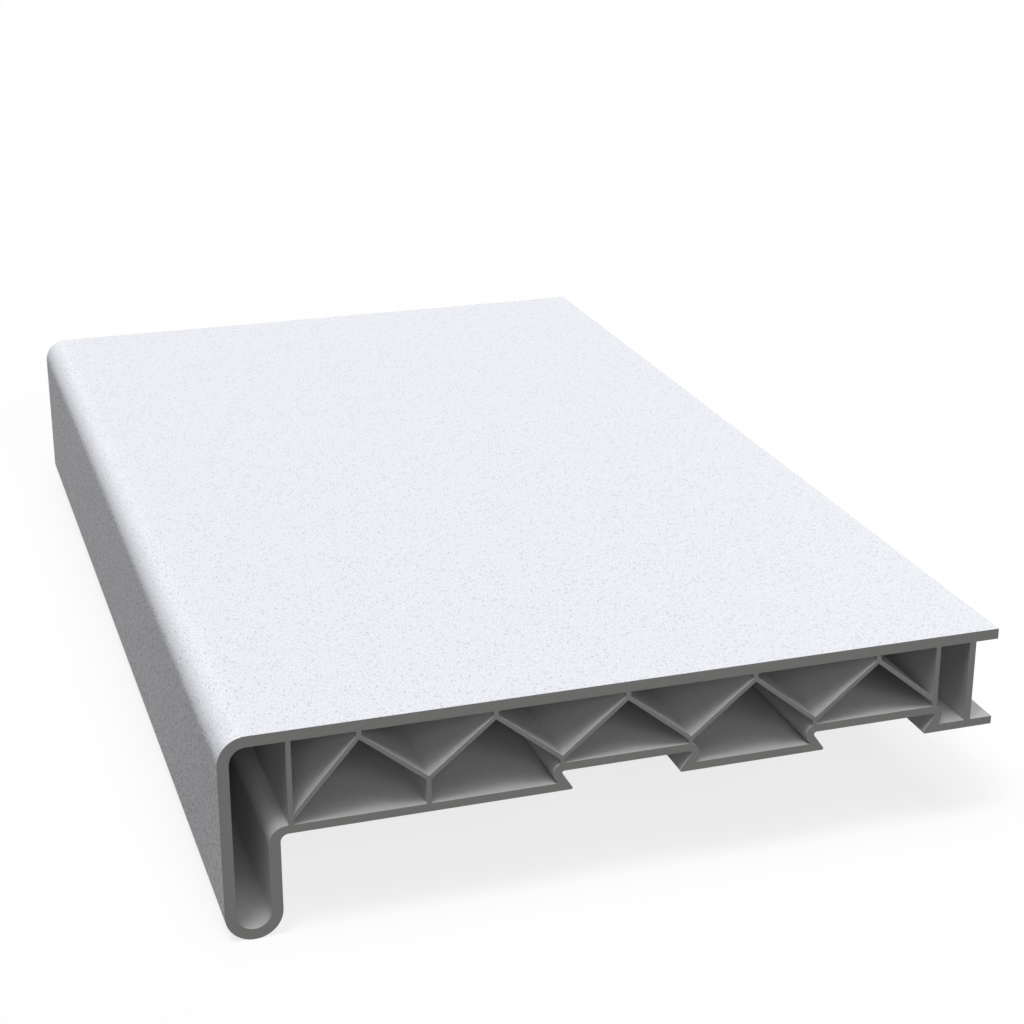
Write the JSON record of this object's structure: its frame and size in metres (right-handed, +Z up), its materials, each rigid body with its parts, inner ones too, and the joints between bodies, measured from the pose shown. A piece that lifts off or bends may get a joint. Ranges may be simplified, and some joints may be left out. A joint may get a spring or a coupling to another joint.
{
  "type": "window sill board",
  "caption": "Hollow extruded plastic window sill board with a rounded drop nose, trussed core and dovetail grooves underneath.",
  "frame": {"origin": "under the middle of the board's width and length, at the level of the nose's foot", "axes": "+X from the nose to the rear edge, +Y along the board's length, +Z up through the top face"},
  "size_m": [0.15, 0.25, 0.04],
  "materials": {
    "board": "matt"
  },
  "bodies": {
    "root": {"sill_board": "board"}
  },
  "joints": []
}
